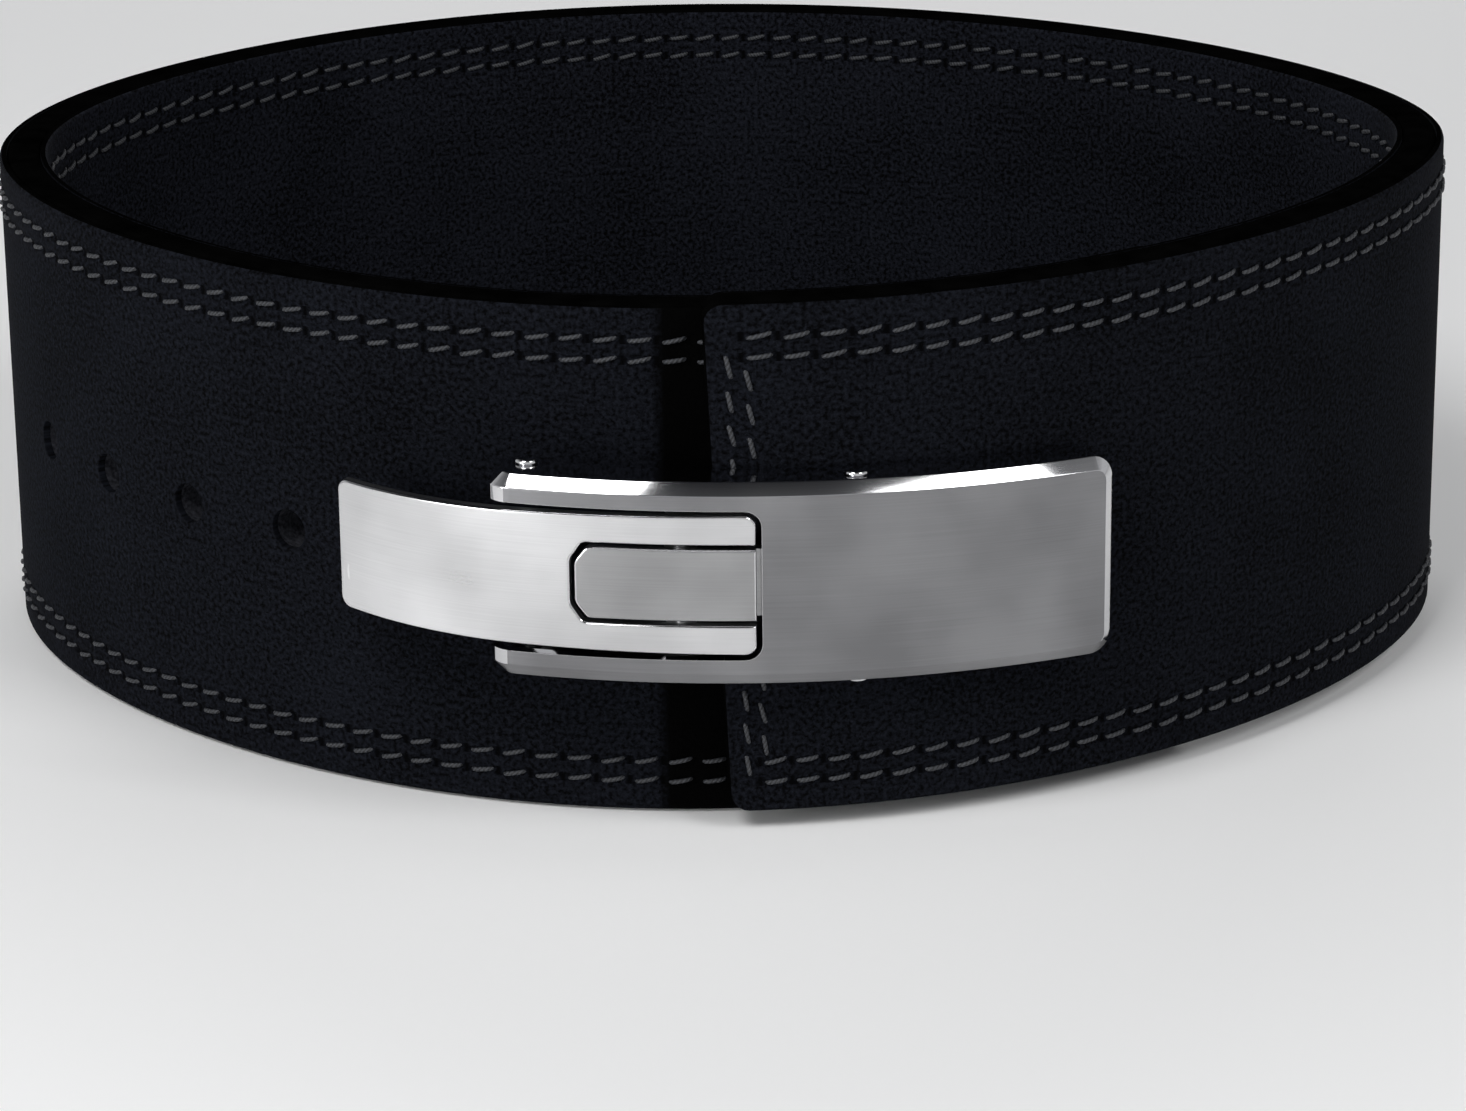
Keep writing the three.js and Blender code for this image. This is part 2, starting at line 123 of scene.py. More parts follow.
# Length along the strap's outer face for each angle, a little past both ends of the strap
table_angle = np.radians(np.arange(-72.0, 486.0, 0.5))
table_x, table_y = face_point(table_angle, 0.0)
table_along = np.concatenate(([0.0], np.cumsum(np.hypot(np.diff(table_x), np.diff(table_y)))))
table_along -= np.interp(0.0, table_angle, table_along)
angle_of = lambda along: np.interp(along, table_along, table_angle)
peg_length = float(np.interp(angle_of(PEG_ALONG) + math.tau, table_angle, table_along))
STRAP_LENGTH = peg_length + LAPPED_HOLES * HOLE_PITCH + TAIL_MARGIN
TURN_LENGTH = float(np.interp(math.tau, table_angle, table_along))
HOLES = [peg_length + (i - FREE_HOLES) * HOLE_PITCH for i in range(FREE_HOLES + 1 + LAPPED_HOLES)]


def lift_at(angle):
    """Height by which the lapped end rides over the end under it, fading round the loop."""
    share = np.clip((np.degrees(angle) - LIFT_HOLDS_TO) / (LIFT_ENDS_AT - LIFT_HOLDS_TO), 0, 1)
    return LAP_LIFT * (1 - share * share * (3 - 2 * share))


def bend_round_loop(piece, on_strap):
    """The flat piece is laid on the strap's curve; its flat places are kept as a UV map in metres."""
    mesh = piece.data
    flat = np.empty(len(mesh.vertices) * 3)
    mesh.vertices.foreach_get("co", flat)
    flat = flat.reshape(-1, 3) / MM
    corners = np.empty(len(mesh.loops), dtype=np.int32)
    mesh.loops.foreach_get("vertex_index", corners)
    for layer in list(mesh.uv_layers):
        mesh.uv_layers.remove(layer)
    mesh.uv_layers.new(name="flat").data.foreach_set("uv", (flat[corners, :2] * MM).ravel())
    along, up, out = flat.T
    if on_strap:
        lean = math.tan(END_LEAN) * np.clip(1 - along / LEAN_REACH, 0, 1)
        along = along - (up - STRAP_WIDTH / 2) * lean
    else:
        up = up - math.tan(LEVER_LEAN) * (along - LEAN_PIVOT)
    angle = angle_of(along)
    if on_strap:
        up = up + lift_at(angle)
    x, y = face_point(angle, out)
    bent = np.stack((x + LOOP_SHIFT[0], y + LOOP_SHIFT[1], up), axis=1) * MM
    mesh.vertices.foreach_set("co", bent.ravel())
    mesh.update()


# Modelling by hand, all sizes in millimetres
def clear():
    """Leaves edit mode and selects nothing."""
    if bpy.context.object and bpy.context.object.mode != "OBJECT":
        bpy.ops.object.mode_set(mode="OBJECT")
    bpy.ops.object.select_all(action="DESELECT")


def pick(piece):
    clear()
    piece.select_set(True)
    bpy.context.view_layer.objects.active = piece


def settled(name):
    """Names the primitive just added and applies its place, turn and size."""
    piece = bpy.context.object
    piece.name = piece.data.name = name
    bpy.ops.object.transform_apply(location=True, rotation=True, scale=True)
    return piece


def slab(name, x, y, z):
    """A block between two values along each way."""
    clear()
    bpy.ops.mesh.primitive_cube_add(
        size=1, location=[(low + high) / 2 * MM for low, high in (x, y, z)],
        scale=[(high - low) * MM for low, high in (x, y, z)])
    return settled(name)


def rod(name, radius, middle, span, way, steps=32):
    """A round bar along y or z, over the given span."""
    clear()
    place = [middle[0], 0, 0]
    place[2 if way == "y" else 1] = middle[1]
    place[1 if way == "y" else 2] = sum(span) / 2
    bpy.ops.mesh.primitive_cylinder_add(
        vertices=steps, radius=radius * MM, depth=(span[1] - span[0]) * MM,
        location=[value * MM for value in place],
        rotation=(math.pi / 2, 0, 0) if way == "y" else (0, 0, 0))
    return settled(name)


def bevel_edges(piece, wanted, width, segments=3, profile=0.5, clamp=True):
    """Bevels the edges that `wanted` names by their two ends and their faces' normals, in mm."""
    pick(piece)
    bpy.ops.object.mode_set(mode="EDIT")
    bpy.ops.mesh.select_mode(type="EDGE")
    bpy.ops.mesh.select_all(action="DESELECT")
    body = bmesh.from_edit_mesh(piece.data)
    for edge in body.edges:
        if len(edge.link_faces) == 2:
            ends = [vert.co / MM for vert in edge.verts]
            edge.select = bool(wanted(*ends, *[face.normal for face in edge.link_faces]))
    bmesh.update_edit_mesh(piece.data)
    bpy.ops.mesh.bevel(offset=width * MM, segments=segments, profile=profile, clamp_overlap=clamp)
    bpy.ops.object.mode_set(mode="OBJECT")


def slice_across(piece, values, way="x"):
    """Cuts an edge line across the piece at each value, so that it can bend or be shaped there."""
    pick(piece)
    bpy.ops.object.mode_set(mode="EDIT")
    normal = (1, 0, 0) if way == "x" else (0, 1, 0)
    for value in values:
        bpy.ops.mesh.select_all(action="SELECT")
        place = (value * MM, 0, 0) if way == "x" else (0, value * MM, 0)
        bpy.ops.mesh.bisect(plane_co=place, plane_no=normal)
    bpy.ops.object.mode_set(mode="OBJECT")


def move_points(piece, shift):
    """Moves each corner by what `shift` gives for its place, in mm."""
    for vert in piece.data.vertices:
        vert.co += Vector(shift(vert.co / MM)) * MM


def cut_with(piece, tools):
    """Takes each tool's shape out of the piece, and the tool itself away."""
    for tool in tools:
        pick(piece)
        change = piece.modifiers.new("cut", "BOOLEAN")
        change.operation = "DIFFERENCE"
        change.solver = "EXACT"
        change.object = tool
        bpy.ops.object.modifier_apply(modifier=change.name)
        bpy.data.objects.remove(tool, do_unlink=True)


def merge(pieces):
    """Joins the pieces into the first one."""
    clear()
    for piece in pieces:
        piece.select_set(True)
    bpy.context.view_layer.objects.active = pieces[0]
    bpy.ops.object.join()
    return pieces[0]


def finish_piece(piece, on_strap, body, nodes, smooth, finish=None):
    """Bends the piece, shades it, gives it its finish and ties it to the body that it moves with."""
    bend_round_loop(piece, on_strap)
    pick(piece)
    bpy.ops.object.shade_smooth_by_angle(angle=math.radians(smooth))
    # flat faces keep their own normals beside the narrow rounded edges
    weighed = piece.modifiers.new("weighed", "WEIGHTED_NORMAL")
    weighed.keep_sharp = True
    bpy.ops.object.modifier_apply(modifier=weighed.name)
    if finish:
        piece.data.materials.append(finish)
    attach(piece, body)
    if nodes:
        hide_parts(*nodes)


def two_finishes(piece, main, second, wanted):
    """Faces that `wanted` names by middle and normal take the second finish, the others the main one."""
    piece.data.materials.append(main)
    piece.data.materials.append(second)
    for face in piece.data.polygons:
        if wanted(face.center / MM, face.normal):
            face.material_index = 1


# Finishes
def linear(code):
    """A colour written as on a colour card, in the linear values that the shaders take."""
    channels = [int(code[i:i + 2], 16) / 255 for i in (1, 3, 5)]
    return [c / 12.92 if c <= 0.04045 else ((c + 0.055) / 1.055) ** 2.4 for c in channels] + [1.0]


def add(tree, kind, settings=None, links=None):
    """Adds a node; settings are its properties or sockets, links name what feeds its sockets."""
    node = tree.nodes.new(kind)
    for key, value in (settings or {}).items():
        if isinstance(key, str) and hasattr(node, key):
            setattr(node, key, value)
        else:
            node.inputs[key].default_value = value
    for key, source in (links or {}).items():
        tree.links.new(source, node.inputs[key])
    return node


def new_finish(name, shown):
    finish = bpy.data.materials.new(name)
    finish.use_nodes = True
    finish.diffuse_color = linear(shown)
    tree = finish.node_tree
    return finish, tree, tree.nodes["Principled BSDF"]


def ramp(tree, source, stops):
    """Colours a value between two stops, each a place and a colour."""
    node = add(tree, "ShaderNodeValToRGB", links={"Fac": source})
    for point, (place, code) in zip(node.color_ramp.elements, stops):
        point.position = place
        point.color = linear(code)
    return node.outputs["Color"]


def make_suede(name, light, shadowed_by_lap):
    # Split cowhide, tanned black and brushed: a short nap that lies in soft clouds and takes no gloss
    finish, tree, shader = new_finish(name, "#101218")
    flat = add(tree, "ShaderNodeUVMap", {"uv_map": "flat"}).outputs["UV"]
    # the nap is stroked one way or the other in patches 30 mm across
    clouds = add(tree, "ShaderNodeTexNoise", {"Scale": 1 / 0.030, "Detail": 3.0}, {"Vector": flat})
    # tufts of nap, drawn at 0.9 mm, coarser than the real 0.4 mm so that they show
    tufts = add(tree, "ShaderNodeTexNoise", {"Scale": 1 / 0.0009, "Detail": 2.0, "Roughness": 0.6},
                {"Vector": flat})
    blend = add(tree, "ShaderNodeMix", {"data_type": "FLOAT", 0: 0.82},
                {2: clouds.outputs["Fac"], 3: tufts.outputs["Fac"]})
    colour = ramp(tree, blend.outputs[0], ((0.38, "#030304"), (0.64, light)))
    # needle holes: pits where each stitch dives in, at the seams' spacing, bumped in and coloured
    # near-black as painted shade inside each hole
    parts = add(tree, "ShaderNodeSeparateXYZ", links={0: flat})
    beat = add(tree, "ShaderNodeMath", {"operation": "PINGPONG", 1: STITCH_PITCH / 2 * MM},
               {0: parts.outputs["X"]})
    # a pit's painted shade deepens from 1 mm to 0.2 mm from a stitch's end, 0.9 mm to both sides of the
    # row
    near_end = add(tree, "ShaderNodeMapRange", {1: 1.0 * MM, 2: 0.2 * MM, 3: 0.0, 4: 1.0},
                   {0: beat.outputs[0]})
    rows = None
    for height in SEAM_HEIGHTS:
        row = add(tree, "ShaderNodeMath", {"operation": "COMPARE", 1: height * MM, 2: 0.9 * MM},
                  {0: parts.outputs["Y"]})
        rows = row if rows is None else add(tree, "ShaderNodeMath", {"operation": "MAXIMUM"},
                                            {0: rows.outputs[0], 1: row.outputs[0]})
    pit = add(tree, "ShaderNodeMath", {"operation": "MULTIPLY"},
              {0: near_end.outputs[0], 1: rows.outputs[0]})
    nap_with_pit_shade = add(tree, "ShaderNodeMix", {"data_type": "RGBA", 7: linear("#020203")},
                 {0: pit.outputs[0], 6: colour})
    nap = nap_with_pit_shade.outputs[2]
    if shadowed_by_lap:
        # painted shadow: the nap is painted black beside the lapped end, as the shadow that end casts on
        # it
        left, right = [add(tree, "ShaderNodeMapRange",
                           {1: (TURN_LENGTH + begins) * MM, 2: (TURN_LENGTH + black) * MM},
                           {0: parts.outputs["X"]}) for begins, black in LAP_SHADOW_SIDES]
        lap_shadow = add(tree, "ShaderNodeMath", {"operation": "MULTIPLY"},
                     {0: left.outputs[0], 1: right.outputs[0]})
        nap = add(tree, "ShaderNodeMix", {"data_type": "RGBA", 7: linear("#010101")},
                  {0: lap_shadow.outputs[0], 6: nap}).outputs[2]
    tree.links.new(nap, shader.inputs["Base Color"])
    height = add(tree, "ShaderNodeMath", {"operation": "SUBTRACT"},
                 {0: tufts.outputs["Fac"], 1: pit.outputs[0]})
    bump = add(tree, "ShaderNodeBump", {"Strength": 0.8, "Distance": 0.35 * MM},
               {"Height": height.outputs[0]})
    tree.links.new(bump.outputs[0], shader.inputs["Normal"])
    shader.inputs["Roughness"].default_value = 1.0
    shader.inputs["Specular IOR Level"].default_value = 0.04
    shader.inputs["Sheen Weight"].default_value = 0.012
    shader.inputs["Sheen Roughness"].default_value = 0.45
    shader.inputs["Sheen Tint"].default_value = linear("#8890a4")
    return finish


def make_edge_paint():
    # Cut leather edge, sanded and painted with black acrylic: smooth, with faint brush waves
    finish, tree, shader = new_finish("painted_leather_edge", "#050506")
    where = add(tree, "ShaderNodeTexCoord").outputs["Object"]
    waves = add(tree, "ShaderNodeTexNoise", {"Scale": 1 / 0.006, "Detail": 3.0}, {"Vector": where})
    colour = ramp(tree, waves.outputs["Fac"], ((0.3, "#020202"), (0.75, "#060606")))
    tree.links.new(colour, shader.inputs["Base Color"])
    bump = add(tree, "ShaderNodeBump", {"Strength": 0.35, "Distance": 0.25 * MM},
               {"Height": waves.outputs["Fac"]})
    tree.links.new(bump.outputs[0], shader.inputs["Normal"])
    shader.inputs["Roughness"].default_value = 0.7
    shader.inputs["Specular IOR Level"].default_value = 0.0
    return finish


def make_cut_leather():
    # Vegetable-tanned core, dyed through: the punch leaves its fibres dark grey and dry
    finish, tree, shader = new_finish("dyed_cut_leather", "#1d1e22")
    where = add(tree, "ShaderNodeTexCoord").outputs["Object"]
    fibres = add(tree, "ShaderNodeTexNoise", {"Scale": 1 / 0.0008, "Detail": 4.0}, {"Vector": where})
    colour = ramp(tree, fibres.outputs["Fac"], ((0.35, "#141519"), (0.7, "#33343a")))
    tree.links.new(colour, shader.inputs["Base Color"])
    bump = add(tree, "ShaderNodeBump", {"Strength": 0.6, "Distance": 0.3 * MM},
               {"Height": fibres.outputs["Fac"]})
    tree.links.new(bump.outputs[0], shader.inputs["Normal"])
    shader.inputs["Roughness"].default_value = 0.95
    shader.inputs["Specular IOR Level"].default_value = 0.1
    return finish


def make_thread():
    # Bonded nylon sewing thread, charcoal, twisted in plies: the sheen along its plies is painted
    # highlight on their crowns and painted shade in their grooves
    finish, tree, shader = new_finish("bonded_nylon_thread", "#55585f")
    flat = add(tree, "ShaderNodeUVMap", {"uv_map": "flat"}).outputs["UV"]
    turned = add(tree, "ShaderNodeMapping", {"Rotation": (0, 0, math.radians(35))}, {"Vector": flat})
    # one ply every 0.7 mm, its colour painted darker in the grooves and lighter on the crowns
    plies = add(tree, "ShaderNodeTexWave", {"Scale": 0.32 / 0.0007, "Distortion": 0.6},
                {"Vector": turned.outputs[0]})
    colour = ramp(tree, plies.outputs["Fac"], ((0.1, "#17181b"), (0.8, "#313338")))
    tree.links.new(colour, shader.inputs["Base Color"])
    bump = add(tree, "ShaderNodeBump", {"Strength": 0.5, "Distance": 0.15 * MM},
               {"Height": plies.outputs["Fac"]})
    tree.links.new(bump.outputs[0], shader.inputs["Normal"])
    shader.inputs["Roughness"].default_value = 0.6
    return finish


def make_steel(name, dark, light, rough_low, rough_high, grain):
    finish, tree, shader = new_finish(name, light)
    flat = add(tree, "ShaderNodeUVMap", {"uv_map": "flat"}).outputs["UV"]
    # grit lines run along the lever: 25 mm long, a quarter of a millimetre apart
    drawn = add(tree, "ShaderNodeMapping", {"Scale": (0.01, 1, 1)}, {"Vector": flat})
    lines = add(tree, "ShaderNodeTexNoise", {"Scale": 1 / 0.00025, "Detail": 2.0},
                {"Vector": drawn.outputs[0]})
    clouds = add(tree, "ShaderNodeTexNoise", {"Scale": 1 / 0.025, "Detail": 2.0}, {"Vector": flat})
    blend = add(tree, "ShaderNodeMix", {"data_type": "FLOAT", 0: 0.18},
                {2: clouds.outputs["Fac"], 3: lines.outputs["Fac"]})
    colour = ramp(tree, blend.outputs[0], ((0.36, dark), (0.64, light)))
    tree.links.new(colour, shader.inputs["Base Color"])
    rough = add(tree, "ShaderNodeMapRange", {1: 0.3, 2: 0.7, 3: rough_low, 4: rough_high},
                {0: blend.outputs[0]})
    tree.links.new(rough.outputs[0], shader.inputs["Roughness"])
    bump = add(tree, "ShaderNodeBump", {"Strength": grain, "Distance": 0.02 * MM},
               {"Height": lines.outputs["Fac"]})
    tree.links.new(bump.outputs[0], shader.inputs["Normal"])
    shader.inputs["Metallic"].default_value = 1.0
    return finish


# the outer face carries the painted shadow beside the lapped end
face_suede = make_suede("brushed_split_leather", "#16181e", True)
lining_suede = make_suede("lining_split_leather", "#1c1e25", False)
edge_paint = make_edge_paint()
cut_leather = make_cut_leather()
thread = make_thread()
# Stamped steel, nickel plated: the broad faces are satin, the ground bevels polished. The base colours
# are painted light: darker on the cover's satin plate, lighter on the hook, between on the finger, each
# set to how bright that piece shows
satin_nickel = make_steel("satin_nickel_plate", "#7d7d7f", "#949496", 0.30, 0.38, 0.15)
bright_nickel = make_steel("bright_nickel_plate", "#c6c6c7", "#e2e2e3", 0.26, 0.34, 0.12)
polished_nickel = make_steel("polished_nickel_plate", "#c8c8cb", "#dededf", 0.06, 0.10, 0.05)
# Steel sheet, zinc plated, under the lever: its near-black colour is painted shade, for the dark its
# ears show under the cover
steel_painted_shade = make_steel("steel_plate_painted_shade", "#1c1c1f", "#2c2c30", 0.25, 0.35, 0.2)
# the finger's plate: the same nickel, its base colour set between the cover's and the hook's as painted
# light
finger_nickel_painted_tone = make_steel("nickel_plate_painted_mid_tone", "#99999a", "#b2b2b3", 0.28, 0.36, 0.18)


# Strap: two suede skins on a core, sewn, punched and painted along its edges
def strap_layer(name, low, high, inset, soft_side):
    """A layer of the strap between two heights, with its holes punched. The soft side is 1 for the
    outer skin, whose upper face shows, -1 for the inner one and 0 for the core."""
    piece = slab(name, (inset, STRAP_LENGTH - inset), (inset, STRAP_WIDTH - inset), (low, high))
    bevel_edges(piece, lambda a, b, m, n: abs(a.z - b.z) > 0.5 * (high - low), END_CORNER, 5)
    if soft_side:
        face = high if soft_side > 0 else low
        # the thread pulls the skin down along its seams
        for height in SEAM_HEIGHTS:
            slice_across(piece, (height - SEAM_REACH, height, height + SEAM_REACH), "y")
        on_seam = lambda p: abs(p.z - face) < 0.01 and any(abs(p.y - h) < 0.01 for h in SEAM_HEIGHTS)
        move_points(piece, lambda p: (0, 0, -SEAM_DEPTH * soft_side if on_seam(p) else 0))
        rim = lambda a, b, m, n: (abs(a.z - face) < 0.5 and abs(b.z - face) < 0.5
                                  and min(abs(m.z), abs(n.z)) < 0.3)
        bevel_edges(piece, rim, SKIN_ROUNDING, 3)
    else:
        rim = lambda a, b, m, n: abs(a.z - b.z) < 0.01 and min(abs(m.z), abs(n.z)) < 0.3
        bevel_edges(piece, rim, CORE_ROUNDING, 3)
    cut_with(piece, [merge([rod("punch", HOLE_RADIUS, (along, HOLE_HEIGHT), (low - 2, high + 2), "z")
                            for along in HOLES])])
    if soft_side:
        on_hole = lambda p: abs(p.z - face) < 0.01 and any(
            abs(math.hypot(p.x - x, p.y - HOLE_HEIGHT) - HOLE_RADIUS) < 0.05 for x in HOLES)
        bevel_edges(piece, lambda a, b, m, n: on_hole(a) and on_hole(b), HOLE_ROUNDING, 2)
    # narrow steps, so that the layer bends smoothly
    step = 4.0
    slice_across(piece, np.arange(step, STRAP_LENGTH - 1, step))
    return piece


def in_hole(place):
    return any(math.hypot(place.x - x, place.y - HOLE_HEIGHT) < HOLE_RADIUS + 0.2 for x in HOLES)


def on_rim(place, normal):
    """The painted rim of a suede skin: its steep faces, but not those of its holes."""
    return abs(normal.z) < 0.55 and not in_hole(place)


outer = strap_layer("outer_suede_face", -SKIN, 0.0, SKIN_INSET, 1)
core = strap_layer("leather_core", -STRAP_THICKNESS + SKIN + GLUE_GAP, -SKIN - GLUE_GAP, 0.0, 0)
inner = strap_layer("inner_suede_face", -STRAP_THICKNESS, -STRAP_THICKNESS + SKIN, SKIN_INSET, -1)
two_finishes(outer, face_suede, edge_paint, on_rim)
two_finishes(inner, lining_suede, edge_paint, on_rim)
two_finishes(core, edge_paint, cut_leather, lambda place, normal: in_hole(place))
finish_piece(outer, True, "root", ["outer_suede"], STRAP_SMOOTH)
finish_piece(inner, True, "root", ["inner_suede"], STRAP_SMOOTH)
finish_piece(core, True, "root", ["strap_core"], STRAP_SMOOTH)


# Stitching: one stitch is modelled, and arrayed along each row on both faces
def one_stitch():
    """A length of thread that lies aslant, a little flattened, and dives into the leather."""
    clear()
    bpy.ops.mesh.primitive_cylinder_add(vertices=8, radius=THREAD / 2 * MM, depth=STITCH_LENGTH * MM,
                                        end_fill_type="NGON", rotation=(0, math.pi / 2, 0))
    piece = settled("stitch")
    half = STITCH_LENGTH / 2
    slice_across(piece, (-half * 0.75, -half * 0.4, half * 0.4, half * 0.75))

    def arch(p):
        # the thread thins over the last 0.3 of its half length and dips over the last 0.65
        share = abs(p.x) / half
        narrow = 1 - 0.55 * max(0.0, share - 0.7) / 0.3
        slant = STITCH_SLANT * p.x / half
        dip = STITCH_DIP * max(0.0, share - 0.35) ** 2 / 0.42
        return (0, p.y * (narrow - 1) + slant, p.z * (0.8 * narrow - 1) - dip)

    move_points(piece, arch)
    return piece


def stitch_row(start, end, face, sense):
    """A row of stitches between two flat places, on the outer face (sense 1) or the inner one."""
    piece = one_stitch()
    run = Vector(end) - Vector(start)
    count = max(1, int(run.length // STITCH_PITCH))
    pick(piece)
    row = piece.modifiers.new("row", "ARRAY")
    row.count = count
    row.use_relative_offset = False
    row.use_constant_offset = True
    row.constant_offset_displace = (STITCH_PITCH * MM, 0, 0)
    bpy.ops.object.modifier_apply(modifier=row.name)
    # hand-guided stitches differ a little in height and slant
    per_stitch = len(piece.data.vertices) // count
    for i in range(count):
        rise = random.uniform(-STITCH_DRIFT, STITCH_DRIFT)
        tip = random.uniform(-STITCH_TURN, STITCH_TURN)
        for vert in piece.data.vertices[i * per_stitch:(i + 1) * per_stitch]:
            vert.co.y += (rise + tip * (vert.co.x / MM - i * STITCH_PITCH)) * MM
    angle = math.atan2(run.y, run.x)
    turn = Matrix.Rotation(angle, 4, "Z") @ Matrix.Diagonal((1, sense, sense, 1))
    first = Vector((start[0], start[1], 0)) + run.to_3d().normalized() * (STITCH_PITCH / 2)
    place = (first.x * MM, first.y * MM, (face + STITCH_RISE * sense) * MM)
    piece.data.transform(Matrix.Translation(place) @ turn)
    return piece


rows = []
for face, sense in ((0.0, 1), (-STRAP_THICKNESS, -1)):
    for end_inset, side_inset in SEAMS:
        left, right = end_inset, STRAP_LENGTH - end_inset
        low, high = side_inset, STRAP_WIDTH - side_inset
        rows += [stitch_row((STITCH_PITCH, low), (right, low), face, sense),
                 stitch_row((STITCH_PITCH, high), (right, high), face, sense),
                 stitch_row((left, low), (left, high), face, sense),
                 stitch_row((right, low), (right, high), face, sense)]
seams = merge(rows)
seams.name = seams.data.name = "stitching"
finish_piece(seams, True, "root", [], STITCH_SMOOTH, thread)


# Buckle: stamped and bent steel
def strips(piece, left, right, step=3.0):
    """Cuts the piece across in narrow steps, so that it bends smoothly."""
    slice_across(piece, np.arange(left + step / 2, right, step))


def middle(half):
    """A span in height, half of it on each side of the lever's middle line."""
    return (LEVER_HEIGHT - half, LEVER_HEIGHT + half)


def hinge_rods(name, radius, hinge, inner, outer):
    """Two rods about a hinge, below and above the lever's middle line."""
    return [rod(name, radius, hinge, (LEVER_HEIGHT + low, LEVER_HEIGHT + high), "y")
            for low, high in ((-outer, -inner), (inner, outer))]


# Edges and faces named for bevels and finishes: a and b are ends, m and n the normals of both faces
def sharp(m, n):
    return m.dot(n) < 0.5


def right_upright(a, b, m, n):
    return abs(a.z - b.z) > 2 and a.x > 0


def left_upright(a, b, m, n):
    return abs(a.z - b.z) > 2 and a.x < 0


def top_rim(a, b, m, n):
    return sharp(m, n) and min(a.z, b.z) > PLATE_TOP - 0.05


def left_top_edge(top):
    """The edge across the cover's left end, at the height `top`."""
    return lambda a, b, m, n: max(a.x, b.x) < COVER_LEFT + 5 and abs(a.y - b.y) > 5 and a.z > top - 1


def sloping_above(low):
    """The sloping faces of a rounded rim, above the height `low`."""
    return lambda place, normal: 0.05 < normal.z < 0.93 and place.z > low


def ground_on_cover(place, normal):
    """The cover's upper chamfer, side walls and ends are polished; its face and lower rim are satin, the
    lower rim's darker satin colour being painted shade.
    """
    height = place.y - LEVER_HEIGHT
    lower_rim_painted_shade = normal.z > 0.3 and normal.y < -0.3 and height < -15
    if normal.z > 0.97 or place.z < 0.5 or lower_rim_painted_shade:
        return False
    beside_hook = abs(height) < HOOK_HALF + HOOK_GAP + 0.5
    at_side = abs(height) > COVER_HALF - 2.5
    at_end = place.x > COVER_RIGHT - 7 or place.x < COVER_LEFT + 5
    return beside_hook or at_side or at_end


def lever_cover():
    # modelled a third deeper than it is, then pressed flat, so that its chamfer is wider than deep
    press = CHAMFER_WIDTH / CHAMFER_DEPTH
    cover = slab("lever_cover_plate", (COVER_LEFT, COVER_RIGHT), middle(COVER_HALF),
                 (PLATE_TOP - (PLATE_TOP - COVER_LOW) * press, PLATE_TOP))
    bevel_edges(cover, right_upright, COVER_CORNER, 8)
    bevel_edges(cover, left_top_edge(PLATE_TOP), END_ROLL, 7)
    rim = lambda a, b, m, n: sharp(m, n) and min(a.z, b.z) > COVER_LOW - 1 and max(m.z, n.z) > 0.1
    bevel_edges(cover, rim, CHAMFER_WIDTH, 1, clamp=False)
    move_points(cover, lambda p: (0, 0, (PLATE_TOP - p.z) * (1 - 1 / press)))
    soften = lambda a, b, m, n: 0.4 < m.dot(n) < 0.93 and min(a.z, b.z) > COVER_LOW + 3
    bevel_edges(cover, soften, 0.22, 2)
    hollow_top = PLATE_TOP - COVER_SHEET
    hollow = slab("hollow", (COVER_LEFT + 1, COVER_RIGHT - COVER_SHEET),
                  middle(COVER_HALF - COVER_WALL), (-5, hollow_top))
    bevel_edges(hollow, right_upright, HOLLOW_CORNER, 4)
    bevel_edges(hollow, left_top_edge(hollow_top), HOLLOW_ROLL, 4)
    notch = slab("notch", (COVER_LEFT - 10, NOTCH_RIGHT), middle(HOOK_HALF + HOOK_GAP), (-6, 20))
    bevel_edges(notch, right_upright, NOTCH_CORNER, 6)
    cut_with(cover, [hollow, notch])
    foot = lambda a, b, m, n: max(a.x, b.x) < COVER_LEFT + 0.1 and max(a.z, b.z) < 2
    bevel_edges(cover, foot, 0.95, 3)
    lip = lambda a, b, m, n: top_rim(a, b, m, n) and max(a.x, b.x) < NOTCH_RIGHT + 0.1
    bevel_edges(cover, lip, 0.5, 2)
    strips(cover, COVER_LEFT, COVER_RIGHT)
    lugs = hinge_rods("lug", LUG_RADIUS, LEVER_HINGE, COVER_HALF - COVER_WALL, COVER_HALF)
    cover = merge([cover, *lugs])
    two_finishes(cover, satin_nickel, polished_nickel, ground_on_cover)
    return cover


def tapered_tip(piece, left):
    """The tip narrows over its last two millimetres, with a blunt end."""
    slice_across(piece, (left + TIP_LENGTH,))
    move_points(piece, lambda p: (0, (LEVER_HEIGHT - p.y) * TIP_SHARE if p.x < left + 0.1 else 0, 0))
    corners = lambda a, b, m, n: abs(a.z - b.z) > 2 and a.x < left + TIP_LENGTH + 0.1
    bevel_edges(piece, corners, TIP_CORNER, 3)


